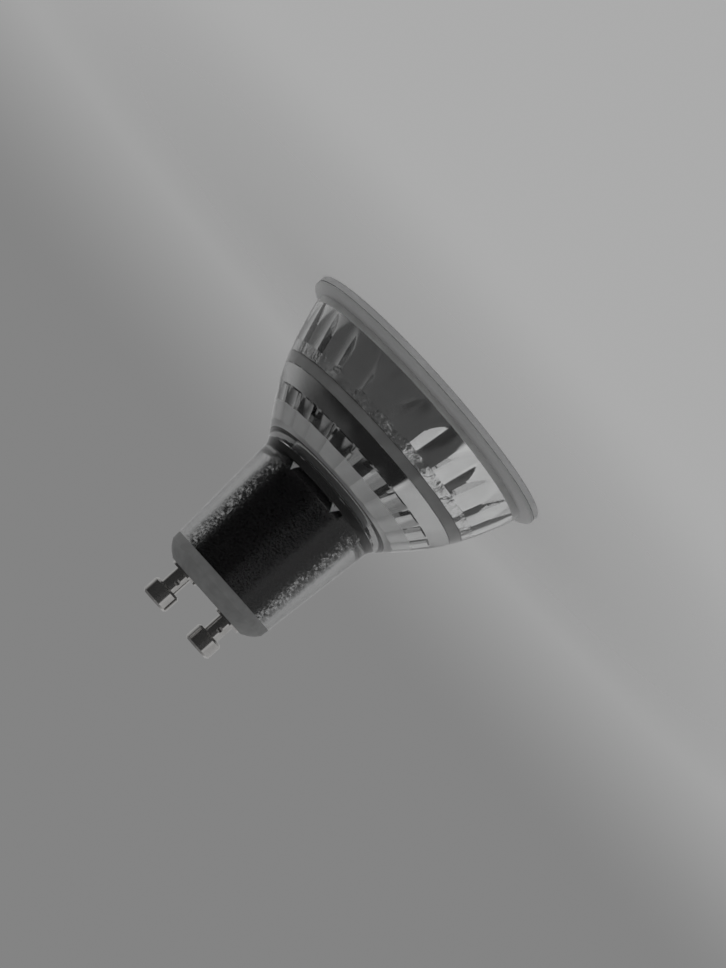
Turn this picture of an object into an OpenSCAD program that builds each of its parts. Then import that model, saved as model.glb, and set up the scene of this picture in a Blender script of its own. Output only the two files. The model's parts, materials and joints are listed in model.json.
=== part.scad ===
// Reflector lamp with a pressed glass body and two bayonet pins.
// It stands on its light face: z is zero at the front of the lens and grows towards the pins.
// The two pins stand on the x axis, and every piece of glass is round about the z axis.

/* [Rim and lens] */
// Diameter of the lens and of the glass rim
rim_d = 50; // [49:0.5:54]
// Thickness of the lens plate
lens_t = 1; // [0.8:0.1:1.6]
// Chamfer round the front edge of the lens
lens_edge = 0.2; // [0.1:0.05:0.3]
// Depth of the locating skirt behind the lens
skirt_h = 1.2; // [0.6:0.1:2]
// Thickness of the locating skirt
skirt_t = 0.9; // [0.6:0.1:1.4]
// Thickness of the adhesive between lens and glass
glue_t = 0.15; // [0.1:0.05:0.3]
// Width of the adhesive ring
glue_w = 2.6; // [1.5:0.1:3]
// Thickness of the glass flange at the rim
flange_t = 1.25; // [1:0.05:2]
// Height of the rounded back corner of the flange
flange_round_h = 0.95; // [0.5:0.05:0.95]
// Width of the rounded back corner of the flange
flange_round_w = 1.8; // [1:0.1:2]

/* [Bowl outside] */
// Height of the bowl from the flange to the neck
bowl_h = 21.1; // [20:0.1:24]
// Diameter of the neck where the bowl ends
neck_top_d = 23.2; // [22.4:0.1:24.4]
// Diameter of the neck just before the base
neck_end_d = 20.4; // [19.6:0.1:21.4]
// Height of the neck from the bowl to the base corner
neck_h = 20.9; // [18:0.1:24]
// Height of the sloping corner round the base
base_corner_h = 2.1; // [1.5:0.1:2.6]
// Diameter of the flat end of the base
base_end_d = 15.8; // [15.4:0.1:17]
// Reach of the hollow curve between bowl and neck, on each side of their corner
neck_fillet = 0.9; // [0.6:0.1:1.6]

/* [Bowl inside] */
// Width of the glass face round the mouth
flange_w = 3.5; // [3.3:0.05:3.8]
// Depth of the straight land round the locating skirt
land_h = 1.85; // [1.5:0.05:2.1]
// Depth of the upper fluted band
upper_h = 7.6; // [7.3:0.05:7.9]
// How far the wall of the upper band draws in
upper_draft = 2.3; // [2.2:0.05:2.5]
// Height of the shelves between the flutes at the foot of the upper band
shelf_h = 1.6; // [1:0.1:2.2]
// How far a shelf stands in from the wall where it starts
shelf_in = 0.52; // [0.4:0.02:0.6]
// How far a shelf stands in from the wall where it ends
shelf_end_in = 0.73; // [0.62:0.01:0.8]
// Width of the step from the upper band's wall to the step ring
ring_in = 1.3; // [1.15:0.05:1.5]
// Height of the step ring
ring_h = 1.6; // [1.2:0.1:2]
// Width of the step from the ring to the smooth cone
cone_in = 0.7; // [0.5:0.05:0.9]
// How far the cone closes in before the lower flutes
cone_draft = 1.44; // [1.3:0.02:1.6]
// Distance of the bowl's floor from the corner between bowl and neck
floor_drop = 4.3; // [4:0.1:4.8]
// Width of the bowl's floor round the light board
bowl_floor_w = 3.35; // [3:0.05:3.6]

/* [Flutes] */
// Flutes in each band
flute_count = 24; // [20:2:28]
// Turn of the flutes about the lamp's axis, in degrees
flute_turn = 11.6; // [0:0.1:15]
// Radius of each upper flute
upper_flute_r = 14.7; // [12:0.1:18]
// How far an upper flute stands proud where it starts at the land
upper_flute_start = 0.05; // [0.02:0.01:0.1]
// How far an upper flute stands proud where it ends
upper_flute_h = 0.95; // [0.8:0.05:1.1]
// Radius of each lower flute
lower_flute_r = 9; // [7:0.1:10]
// Distance of the start of the lower flutes from the bowl's floor
lower_flute_reach = 4.3; // [3.8:0.1:4.8]
// Distance of the bend in the lower flutes from the bowl's floor
lower_bend_reach = 2.2; // [1.6:0.1:2.6]
// How far a lower flute stands proud where it starts
lower_flute_start = 0.34; // [0.2:0.02:0.4]
// How far a lower flute stands proud at its bend
lower_flute_bend = 0.42; // [0.34:0.02:0.5]
// How far a lower flute stands proud at the floor of the bowl
lower_flute_h = 0.76; // [0.6:0.02:1]

/* [Light board] */
// Diameter of the light board
board_d = 19.2; // [18.4:0.1:20]
// Thickness of the light board
board_t = 1; // [0.8:0.1:1.6]
// Gap between the board and the glass round it
board_gap = 0.3; // [0.1:0.05:0.5]
// Thickness of the bond behind the board
bond_t = 0.2; // [0.1:0.05:0.4]
// Width of the bond behind the board
bond_w = 2.8; // [1.5:0.1:3]
// Diameter of the lit disc
light_d = 7; // [5:0.5:8]
// Height of the lit disc above the board
light_t = 0.35; // [0.2:0.05:0.5]
// Width of the dam round the lit disc
dam_w = 0.65; // [0.4:0.05:0.7]
// Height of the dam above the board
dam_t = 0.5; // [0.5:0.05:0.8]
// Diameter of the wire holes in the board
wire_hole_d = 1.5; // [1.2:0.1:1.6]
// Distance of the wire holes from the axis
wire_hole_reach = 5; // [4.9:0.1:5]
// Distance of the solder pads from the axis
pad_reach = 7.4; // [7.2:0.1:8]
// Diameter of a solder joint on the board
solder_d = 1.7; // [1.4:0.1:1.8]

/* [Driver sleeve] */
// Diameter of the neck bore at its top
bore_top_d = 12.9; // [12.6:0.1:13.4]
// Diameter of the neck bore at its end
bore_end_d = 12.1; // [12:0.1:12.5]
// Thickness of the glass floor in the base
floor_t = 3.4; // [2.6:0.1:4]
// Gap between the sleeve and the bore
sleeve_gap = 0.15; // [0.05:0.05:0.2]
// Wall of the sleeve
sleeve_wall = 0.6; // [0.5:0.05:0.65]
// Thickness of the sleeve's flange
sleeve_flange_t = 0.5; // [0.4:0.05:0.8]
// Gap between the end of the sleeve and the glass floor
sleeve_end_gap = 0.9; // [0.8:0.1:1.4]
// Width of the rails that hold the driver board
rail_t = 0.5; // [0.4:0.05:0.7]
// Reach of the rails over the driver board
rail_reach = 0.7; // [0.4:0.05:0.9]

/* [Driver] */
// Width of the driver board
driver_w = 9.9; // [9.5:0.1:10]
// Gap between the driver board and the end of the sleeve
driver_end_gap = 1.2; // [1:0.1:1.6]
// Thickness of the driver board
driver_t = 0.8; // [0.6:0.1:1]
// Gap between the driver board and its rails
driver_gap = 0.1; // [0.05:0.05:0.15]
// Distance from the bore's top to the driver board
driver_drop = 1.1; // [0.8:0.1:1.4]
// Diameter of the electrolytic capacitor
can_d = 5; // [4:0.1:5]
// Length of the electrolytic capacitor
can_l = 8.6; // [7:0.1:8.8]
// Width of the film capacitor
film_w = 5; // [4:0.1:5]
// Height of the film capacitor
film_h = 3.2; // [2.5:0.1:3.4]
// Gap between the film capacitor and the electrolytic capacitor
film_gap = 2.7; // [2.2:0.1:3.4]
// Diameter of the choke's flanges
choke_d = 5.4; // [4.8:0.1:5.4]
// Height of the choke
choke_h = 4.2; // [3.2:0.1:4.2]
// Turns in one layer of the choke's winding
choke_turns = 7; // [5:1:9]
// Width of the chip housings
chip_w = 4.4; // [3.6:0.1:4.6]
// Length of the driver chip
driver_ic_l = 3.6; // [3:0.1:3.8]
// Length of the bridge rectifier
bridge_l = 3.8; // [3:0.1:4]
// Height of the chip housings
chip_h = 1.5; // [1.2:0.1:1.7]
// Diameter of the fuse resistor
fuse_d = 1.7; // [1.5:0.1:1.8]
// Length of the fuse resistor
fuse_l = 5.2; // [4:0.1:5.4]
// Diameter of the component leads
lead_d = 0.5; // [0.4:0.05:0.6]
// Diameter of the insulated wires
wire_d = 0.8; // [0.6:0.05:0.9]

/* [Pins] */
// Distance between the pins
pin_spacing = 10; // [9.6:0.1:10]
// Diameter of a pin's head
head_d = 5; // [4.7:0.1:5.2]
// Height of a pin's head
head_h = 3.05; // [2.6:0.05:3.4]
// Chamfer on a pin's head
head_edge = 0.35; // [0.2:0.05:0.5]
// Diameter of a pin's stem
stem_d = 3; // [2.7:0.1:3.2]
// Height of a pin's stem
stem_h = 3.15; // [2.8:0.05:3.4]
// Diameter of the vent in the front of a stem
vent_d = 0.95; // [0.7:0.05:1.2]
// Depth of the vent in the front of a stem
vent_depth = 1.5; // [1:0.1:2]
// Diameter of the shank in the glass
shank_d = 1.6; // [1.4:0.1:1.6]
// Gap between the shank and its hole
shank_gap = 0.1; // [0.05:0.05:0.15]
// Diameter of the riveted end of the shank
rivet_d = 2; // [1.9:0.1:2]
// Height of the riveted end of the shank
rivet_h = 0.6; // [0.4:0.1:0.7]
// Diameter of the washer under a pin
washer_d = 5; // [4.6:0.1:5.2]
// Thickness of the washer under a pin
washer_t = 0.4; // [0.3:0.05:0.6]

/* [Hidden] */

// How far a cut runs past the surface that it opens
over = 0.05;
$fn = 96;
// Steps along the outlines of the bowl, the neck's hollow curve and the base corner
bowl_steps = 14;
fillet_steps = 4;
corner_steps = 5;
// Sides of small round parts, and sides and rings of a wire
small_sides = 24;
wire_sides = 8;
wire_rings = 12;

// Heights of the glass, from the front of the lens
mouth_z = lens_t + glue_t;
land_z = mouth_z + land_h;
bowl_z = mouth_z + flange_t;
neck_z = bowl_z + bowl_h;
corner_z = neck_z + neck_h;
base_z = corner_z + base_corner_h;
ring_z = land_z + upper_h;
cone_z = ring_z + ring_h;
seat_z = neck_z - floor_drop;
bore_z = seat_z + board_t + bond_t + sleeve_flange_t;
floor_z = base_z - floor_t;

// Heights of the pieces stacked in the glass
bond_z = seat_z + board_t;
flange_z = bond_z + bond_t;
sleeve_end_z = floor_z - sleeve_end_gap;
driver_z = bore_z + driver_drop;
driver_end_z = sleeve_end_z - driver_end_gap;
driver_l = driver_end_z - driver_z;
side_y = driver_t / 2;

// Radii that several pieces share
rim_r = rim_d / 2;
bowl_r = rim_r - flange_round_w;
mouth_r = rim_r - flange_w;
upper_end_r = mouth_r - upper_draft;
ring_r = upper_end_r - ring_in;
cone_r = ring_r - cone_in;
bowl_floor_r = board_d / 2 + bowl_floor_w;
seat_r = board_d / 2 + board_gap;
wire_r = wire_d / 2;
lead_r = lead_d / 2;
shank_r = shank_d / 2;
pin_z = base_z + washer_t;
head_z = pin_z + stem_h;

// The bowl's outline bends through these shares of its width and height
bowl_width_shares = [1, 0.81, 0.62, 0];
bowl_height_shares = [0, 0.377, 0.623, 1];
// The base corner bends through these shares of its width and height
corner_width_shares = [1, 0.62, 0.62, 0];
corner_height_shares = [0, 0.57, 0.57, 1];

// A point of a cubic curve through four controls
function curve_point(p, t) =
    pow(1 - t, 3) * p[0] + 3 * t * pow(1 - t, 2) * p[1] + 3 * t * t * (1 - t) * p[2] + pow(t, 3) * p[3];
function curve(p, steps) = [for (i = [0:steps]) curve_point(p, i / steps)];
// A point of a curve that leaves one point and reaches another, bent towards a corner
function bent_point(from, corner, to, t) = pow(1 - t, 2) * from + 2 * t * (1 - t) * corner + t * t * to;
// Four controls between two radii and two heights
function controls(r_from, r_to, z_from, z_to, width_shares, height_shares) =
    [for (i = [0:3]) [r_to + width_shares[i] * (r_from - r_to), z_from + height_shares[i] * (z_to - z_from)]];

// Solid of the outer glass: rim, rounded flange, bowl, neck and sloping base corner
module glass_outside() {
    round_z = bowl_z - flange_round_h;
    neck_r = neck_top_d / 2;
    end_r = neck_end_d / 2;
    flat_r = base_end_d / 2;
    bowl = controls(bowl_r, neck_r, bowl_z, neck_z, bowl_width_shares, bowl_height_shares);
    corner = controls(end_r, flat_r, corner_z, base_z, corner_width_shares, corner_height_shares);
    flange_points = [for (a = [0:15:90])
        [bowl_r + flange_round_w * cos(a), round_z + flange_round_h * sin(a)]];
    bowl_end = 1 - neck_fillet / (3 * norm(bowl[3] - bowl[2]));
    bowl_points = [for (i = [1:bowl_steps]) curve_point(bowl, bowl_end * i / bowl_steps)];
    fillet_end = bowl[3] + [end_r - neck_r, neck_h] * neck_fillet / neck_h;
    fillet_points = [for (i = [1:fillet_steps])
        bent_point(bowl_points[bowl_steps - 1], bowl[3], fillet_end, i / fillet_steps)];
    corner_points = curve(corner, corner_steps);
    rotate_extrude()
        polygon(concat([[0, mouth_z], [rim_r, mouth_z]], flange_points, bowl_points, fillet_points,
            corner_points, [[0, base_z]]));
}

// Tapered plug about the axis, from one height and diameter to another
module plug(z_from, z_to, d_from, d_to) {
    translate([0, 0, z_from]) cylinder(h = z_to - z_from, d1 = d_from, d2 = d_to);
}

// Rods laid round a band, each leaning so that its inner side runs from one radius and height to another.
// A rod starts a lead before the first height, and runs on past the second.
module flutes(z_from, z_to, r_from, r_to, rod_r, lead) {
    lean = atan((r_from - r_to) / (z_to - z_from));
    run = (z_to - z_from) / cos(lean);
    for (i = [0:flute_count - 1])
        rotate([0, 0, flute_turn + i * 360 / flute_count])
            translate([r_from + rod_r * cos(lean), 0, z_from + rod_r * sin(lean)])
                rotate([0, -lean, 0])
                    translate([0, 0, -lead])
                        cylinder(h = lead + run + rod_r / 4, r = rod_r);
}

// Hollow of the upper band, with the land at the mouth and the shelves at the foot
module upper_hollow() {
    shelf_z = ring_z - shelf_h;
    wall_r = upper_end_r + upper_draft * shelf_h / upper_h;
    difference() {
        rotate_extrude()
            polygon([[0, mouth_z - over], [mouth_r, mouth_z - over], [mouth_r, land_z], [wall_r, shelf_z],
                [wall_r - shelf_in, shelf_z], [upper_end_r - shelf_end_in, ring_z], [0, ring_z]]);
        flutes(land_z, ring_z, mouth_r - upper_flute_start, upper_end_r - upper_flute_h, upper_flute_r,
            upper_flute_r / 4);
    }
}

// Hollow of the lower band: a smooth cone, then a steeper one whose flutes start at a flat step and bend halfway
module lower_hollow() {
    start_z = seat_z - lower_flute_reach;
    bend_z = seat_z - lower_bend_reach;
    wall_r = cone_r - cone_draft;
    start_r = wall_r - lower_flute_start;
    bend_r = bowl_floor_r + (wall_r - bowl_floor_r) * lower_bend_reach / lower_flute_reach - lower_flute_bend;
    difference() {
        rotate_extrude()
            polygon([[0, cone_z - over], [cone_r, cone_z - over], [cone_r, cone_z], [wall_r, start_z],
                [bowl_floor_r, seat_z], [0, seat_z]]);
        flutes(start_z, bend_z, start_r, bend_r, lower_flute_r, 0);
        flutes(bend_z, seat_z, bend_r, bowl_floor_r - lower_flute_h, lower_flute_r, over);
    }
}

// Hollow of the bowl, whose wall bulges in between sharp ridges
module bowl_hollow() {
    upper_hollow();
    plug(ring_z - over, cone_z, 2 * ring_r, 2 * ring_r - ring_h / 2);
    lower_hollow();
}

module glass_housing() {
    color([0.86, 0.89, 0.9, 0.45])
        difference() {
            glass_outside();
            bowl_hollow();
            plug(seat_z - over, bore_z, 2 * seat_r, 2 * seat_r);
            plug(bore_z - over, floor_z, bore_top_d, bore_end_d);
            for (side = [-1, 1])
                translate([side * pin_spacing / 2, 0, floor_z - over])
                    cylinder(h = floor_t + 2 * over, r = shank_r + shank_gap);
        }
}

// Round plate with a chamfered front edge and a skirt that centres it in the mouth
module front_lens() {
    skirt_r = mouth_r - glue_t;
    inner_r = skirt_r - skirt_t;
    skirt_z = lens_t + skirt_h;
    color([0.93, 0.94, 0.95, 0.5])
        rotate_extrude()
            polygon([[0, 0], [rim_r - lens_edge, 0], [rim_r, lens_edge], [rim_r, lens_t], [skirt_r, lens_t],
                [skirt_r, skirt_z], [inner_r, skirt_z], [inner_r, lens_t], [0, lens_t]]);
}

module lens_adhesive() {
    outer_r = rim_r - 2 * glue_t;
    color([0.8, 0.82, 0.82])
        rotate_extrude()
            translate([outer_r - glue_w, lens_t]) square([glue_w, glue_t]);
}

// Metal-cored board with two holes for the wires
module led_board() {
    color([0.9, 0.9, 0.88])
        difference() {
            translate([0, 0, seat_z]) cylinder(h = board_t, d = board_d);
            for (side = [-1, 1])
                translate([0, side * wire_hole_reach, seat_z - over])
                    cylinder(h = board_t + 2 * over, d = wire_hole_d);
        }
}

module led_dam() {
    color([0.95, 0.95, 0.93])
        translate([0, 0, seat_z - dam_t])
            difference() {
                cylinder(h = dam_t, r = light_d / 2 + dam_w);
                translate([0, 0, -over]) cylinder(h = dam_t + 2 * over, d = light_d);
            }
}

module led_phosphor() {
    color([0.93, 0.78, 0.25])
        translate([0, 0, seat_z - light_t]) cylinder(h = light_t, d = light_d);
}

// Two flat domes of solder on the front of the board
module led_solder() {
    color([0.75, 0.75, 0.76])
        for (side = [-1, 1])
            translate([0, side * pad_reach, seat_z])
                intersection() {
                    sphere(d = solder_d);
                    translate([-solder_d, -solder_d, -solder_d]) cube([2 * solder_d, 2 * solder_d, solder_d]);
                }
}

function unit(v) = v / norm(v);
function path_direction(path, i) = unit(path[min(i + 1, len(path) - 1)] - path[max(i - 1, 0)]);
function ring_points(centre, dir, r) =
    let (side = unit(cross(dir, abs(dir[0]) < 0.9 ? [1, 0, 0] : [0, 1, 0])), rise = cross(side, dir))
    [for (k = [0:wire_sides - 1])
        let (a = 360 * k / wire_sides)
        centre + r * (cos(a) * side + sin(a) * rise)];

// Round wire swept along a path of points
module swept_wire(path, r) {
    last = len(path) - 1;
    points = [for (i = [0:last]) each ring_points(path[i], path_direction(path, i), r)];
    start_face = [[for (k = [0:wire_sides - 1]) k]];
    end_face = [[for (k = [wire_sides - 1:-1:0]) last * wire_sides + k]];
    walls = [for (i = [0:last - 1], k = [0:wire_sides - 1])
        let (a = i * wire_sides + k, b = i * wire_sides + (k + 1) % wire_sides)
        [a, a + wire_sides, b + wire_sides, b]];
    polyhedron(points = points, faces = concat(start_face, walls, end_face), convexity = 6);
}

// Wire from the driver board, through its hole in the light board and round to its solder joint
module led_wire(side) {
    start = [side * (driver_w / 2 - 2 * wire_d), side * (side_y + wire_r), driver_z + 2 * wire_d];
    hole = [0, side * wire_hole_reach, bond_z];
    hook_angle = 150;
    hook_r = (pad_reach - solder_d / 2 - over - wire_hole_reach) / (1 - cos(hook_angle));
    rise = curve([start, start - [0, 0, 3 * wire_d], hole + [0, 0, 2 * wire_d], hole], wire_rings);
    hook = [for (i = [0:wire_rings])
        let (a = hook_angle * i / wire_rings)
        [0, side * (wire_hole_reach + hook_r * (1 - cos(a))), seat_z - hook_r * sin(a)]];
    swept_wire(concat(rise, hook), wire_r);
}

module led_wire_positive() {
    color([0.75, 0.1, 0.08]) led_wire(1);
}

module led_wire_negative() {
    color([0.1, 0.1, 0.11]) led_wire(-1);
}

module board_adhesive() {
    color([0.85, 0.86, 0.86])
        rotate_extrude()
            translate([board_d / 2 - board_gap - bond_w, bond_z]) square([bond_w, bond_t]);
}

// Diameter of the sleeve at a height, inside the tapered bore
function sleeve_d(z) =
    bore_top_d + (bore_end_d - bore_top_d) * (z - bore_z) / (floor_z - bore_z) - 2 * sleeve_gap;

// Black tube with a flange under the light board and four rails for the driver board
module driver_sleeve() {
    top_d = sleeve_d(flange_z);
    end_d = sleeve_d(sleeve_end_z);
    rail_x = driver_w / 2 - rail_reach;
    rail_y = side_y + driver_gap;
    color([0.07, 0.07, 0.08])
        difference() {
            union() {
                translate([0, 0, flange_z])
                    cylinder(h = sleeve_flange_t, d = board_d);
                plug(flange_z, sleeve_end_z, top_d, end_d);
            }
            difference() {
                plug(flange_z - over, sleeve_end_z + over, top_d - 2 * sleeve_wall, end_d - 2 * sleeve_wall);
                for (sx = [0, 1], sy = [0, 1])
                    mirror([sx, 0, 0]) mirror([0, sy, 0])
                        translate([rail_x, rail_y, driver_z])
                            cube([top_d, rail_t, driver_l]);
            }
        }
}

module driver_board() {
    color([0.1, 0.38, 0.2])
        translate([-driver_w / 2, -side_y, driver_z]) cube([driver_w, driver_t, driver_l]);
}

// Lead that leaves a body along z and drops to the board at right angles
module bent_lead(reach, drop) {
    cylinder(h = reach, r = lead_r, $fn = small_sides);
    translate([0, 0, reach]) sphere(r = lead_r, $fn = small_sides);
    translate([0, 0, reach]) rotate([90, 0, 0]) cylinder(h = drop, r = lead_r, $fn = small_sides);
}

// Aluminium can lying on the board, with a rolled groove near its leads
module electrolytic_capacitor() {
    can_r = can_d / 2;
    groove_r = can_d / 20;
    color([0.12, 0.14, 0.3])
        translate([0, side_y + can_r, driver_z + 2 * lead_d]) {
            difference() {
                cylinder(h = can_l, r = can_r);
                translate([0, 0, can_l - can_r / 2])
                    rotate_extrude() translate([can_r, 0]) circle(r = groove_r, $fn = small_sides);
            }
            for (side = [-1, 1])
                translate([side * can_r / 2, 0, can_l]) bent_lead(lead_d, can_r);
        }
}

module film_capacitor() {
    film_l = driver_l - 3 * lead_d - can_l - film_gap;
    edge = film_w / 12;
    half_w = film_w / 2;
    long = film_l - edge;
    color([0.75, 0.28, 0.1])
        translate([0, side_y, driver_end_z - film_l - lead_d])
            rotate([-90, 0, 0])
                translate([0, -film_l, 0])
                    linear_extrude(film_h)
                        polygon([[edge - half_w, 0], [half_w - edge, 0], [half_w, edge],
                            [half_w, long], [half_w - edge, film_l], [edge - half_w, film_l],
                            [-half_w, long], [-half_w, edge]]);
}

// Places a child on the lower face of the driver board, at a height above the board's start
module on_lower_face(x, z) {
    translate([x, -side_y, driver_z + z]) rotate([90, 0, 0]) children();
}

// The choke and the two chips stand in a row with equal gaps, and the feet of the chips reach out of them
chip_foot = chip_h / 3;
row_gap = (driver_l - choke_d - driver_ic_l - bridge_l - 4 * chip_foot) / 4;
choke_z = row_gap + choke_d / 2;
driver_ic_z = choke_z + choke_d / 2 + row_gap + chip_foot + driver_ic_l / 2;
bridge_z = driver_ic_z + driver_ic_l / 2 + row_gap + 2 * chip_foot + bridge_l / 2;
choke_flange_t = choke_h / 6;
choke_post_d = choke_d / 2;

module choke_core() {
    color([0.2, 0.2, 0.21])
        on_lower_face(0, choke_z) {
            cylinder(h = choke_flange_t, d = choke_d);
            cylinder(h = choke_h, d = choke_post_d);
            translate([0, 0, choke_h - choke_flange_t]) cylinder(h = choke_flange_t, d = choke_d);
        }
}

// Copper layer whose turns stand out as round ridges
module choke_winding() {
    wound_h = choke_h - 2 * choke_flange_t;
    turn_r = wound_h / choke_turns / 2;
    wound_r = choke_d * 0.42;
    color([0.72, 0.4, 0.2])
        on_lower_face(0, choke_z)
            translate([0, 0, choke_flange_t])
                rotate_extrude() {
                    translate([choke_post_d / 2, 0]) square([wound_r - choke_post_d / 2, wound_h]);
                    for (i = [0:choke_turns - 1])
                        translate([wound_r, turn_r * (2 * i + 1)]) circle(r = turn_r, $fn = small_sides);
                }
}

// Flat black housing with legs along its two short sides
module chip_housing(w, l, h, legs) {
    leg_w = w / legs / 3;
    leg_t = h / 6;
    translate([-w / 2, -l / 2, leg_t]) cube([w, l, h - leg_t]);
    for (side = [0, 1], i = [0:legs - 1])
        mirror([0, side, 0])
            translate([(i + 0.5) * w / legs - w / 2 - leg_w / 2, l / 2 - over, 0]) {
                cube([leg_w, chip_foot + over, leg_t]);
                cube([leg_w, leg_t + over, h / 2]);
            }
}

module driver_ic() {
    color([0.09, 0.09, 0.1])
        on_lower_face(-fuse_d / 2, driver_ic_z) chip_housing(chip_w, driver_ic_l, chip_h, 4);
}

module bridge_rectifier() {
    color([0.12, 0.12, 0.13])
        on_lower_face(-fuse_d / 2, bridge_z) chip_housing(chip_w, bridge_l, chip_h, 2);
}

// Banded axial resistor with thicker ends
module fuse_resistor() {
    end_l = fuse_l / 5;
    waist_d = fuse_d * 0.85;
    fuse_x = (driver_w + chip_w - fuse_d) / 4;
    lift = fuse_d / 2 + lead_r;
    color([0.55, 0.62, 0.5])
        translate([fuse_x, -side_y - lift, driver_z + driver_ic_z - fuse_l / 2]) {
            cylinder(h = fuse_l, d = waist_d);
            cylinder(h = end_l, d = fuse_d);
            translate([0, 0, fuse_l - end_l]) cylinder(h = end_l, d = fuse_d);
            translate([0, 0, fuse_l]) mirror([0, 1, 0]) bent_lead(lead_d, lift);
            mirror([0, 0, 1]) mirror([0, 1, 0]) bent_lead(lead_d, lift);
        }
}

// Small ceramic chips in two rows beside the capacitors
module chip_parts() {
    part_l = chip_h * 1.2;
    part_w = chip_h * 0.7;
    part_h = chip_h * 0.4;
    part_x = driver_w / 2 - rail_reach - 0.75 * part_w;
    color([0.7, 0.62, 0.5])
        for (side = [-1, 1], i = [0:3])
            translate([side * part_x - part_w / 2, side_y, driver_z + driver_l / 4 + i * 1.5 * part_l])
                cube([part_w, part_h, part_l]);
}

// Wire from a pin's riveted end up to the driver board
module supply_wire(side) {
    approach = 4 * wire_d;
    lift = 1.3 * wire_r;
    pin_end = [side * (pin_spacing / 2 - rivet_d / 4), 0, floor_z - rivet_h - over];
    joint = [side * (driver_w / 2 - rail_reach - wire_d), -side_y - lift, driver_end_z - 2 * wire_d];
    path = curve([pin_end, pin_end - [0, 0, wire_d], joint + [0, 0, approach], joint], wire_rings);
    swept_wire(path, wire_r);
}

module supply_wire_left() {
    color([0.4, 0.22, 0.12]) supply_wire(-1);
}

module supply_wire_right() {
    color([0.12, 0.25, 0.6]) supply_wire(1);
}

// Turned pin: chamfered head, drilled stem, and a shank riveted inside the base
module contact_pin(side) {
    head_r = head_d / 2;
    color([0.75, 0.75, 0.76])
        translate([side * pin_spacing / 2, 0, 0])
            difference() {
                rotate_extrude()
                    polygon([[0, floor_z - rivet_h], [rivet_d / 2, floor_z - rivet_h], [rivet_d / 2, floor_z],
                        [shank_r, floor_z], [shank_r, pin_z], [stem_d / 2, pin_z], [stem_d / 2, head_z],
                        [head_r - head_edge, head_z], [head_r, head_z + head_edge],
                        [head_r, head_z + head_h - head_edge], [head_r - head_edge, head_z + head_h],
                        [0, head_z + head_h]]);
                translate([0, vent_depth - stem_d / 2, pin_z + stem_h / 2])
                    rotate([90, 0, 0]) cylinder(h = stem_d, d = vent_d);
            }
}

module contact_pin_left() {
    contact_pin(-1);
}

module contact_pin_right() {
    contact_pin(1);
}

module pin_washer(side) {
    color([0.7, 0.7, 0.71])
        translate([side * pin_spacing / 2, 0, base_z])
            difference() {
                cylinder(h = washer_t, d = washer_d);
                translate([0, 0, -over]) cylinder(h = washer_t + 2 * over, r = shank_r + shank_gap);
            }
}

module pin_washer_left() {
    pin_washer(-1);
}

module pin_washer_right() {
    pin_washer(1);
}

glass_housing();
front_lens();
lens_adhesive();
led_board();
led_dam();
led_phosphor();
led_solder();
led_wire_positive();
led_wire_negative();
board_adhesive();
driver_sleeve();
driver_board();
electrolytic_capacitor();
film_capacitor();
choke_core();
choke_winding();
bridge_rectifier();
driver_ic();
fuse_resistor();
chip_parts();
supply_wire_left();
supply_wire_right();
contact_pin_left();
contact_pin_right();
pin_washer_left();
pin_washer_right();
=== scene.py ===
"""Looks of a pressed-glass reflector lamp that stands on its light face.
Metres, +Z from the light face to the pins."""

import json
import math

import bmesh
import bpy
import numpy as np
from mathutils import Matrix, Vector
from mathutils.geometry import tessellate_polygon

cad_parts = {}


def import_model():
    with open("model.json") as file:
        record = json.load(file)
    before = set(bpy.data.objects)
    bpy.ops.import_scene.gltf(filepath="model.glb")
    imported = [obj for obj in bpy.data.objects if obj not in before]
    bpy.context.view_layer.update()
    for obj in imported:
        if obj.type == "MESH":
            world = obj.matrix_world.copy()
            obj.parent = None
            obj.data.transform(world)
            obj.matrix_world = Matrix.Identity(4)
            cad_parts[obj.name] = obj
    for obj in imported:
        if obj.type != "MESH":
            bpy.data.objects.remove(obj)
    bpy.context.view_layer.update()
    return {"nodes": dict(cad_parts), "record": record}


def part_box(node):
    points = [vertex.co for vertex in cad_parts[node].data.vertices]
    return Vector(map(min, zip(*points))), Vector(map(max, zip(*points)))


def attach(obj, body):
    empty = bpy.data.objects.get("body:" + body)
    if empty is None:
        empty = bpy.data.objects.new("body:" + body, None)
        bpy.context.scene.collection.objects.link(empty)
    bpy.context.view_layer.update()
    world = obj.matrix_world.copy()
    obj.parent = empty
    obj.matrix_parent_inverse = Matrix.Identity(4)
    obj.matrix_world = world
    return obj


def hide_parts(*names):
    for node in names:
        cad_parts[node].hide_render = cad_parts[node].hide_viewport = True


MM = 0.001
PHOTO_W = 726
PHOTO_H = 968

# Where the camera of the photograph stood
CAMERA_AZIMUTH = math.radians(12.6)
CAMERA_DISTANCE = 350 * MM
CAMERA_Z = 45 * MM
AIM_Z = 16.85 * MM
AIM_ASIDE = 3.13 * MM
CAMERA_ROLL = math.radians(48.4)
FOCAL_PX = 2256
SENSOR = 36.0
CLIP_START = 10 * MM

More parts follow.
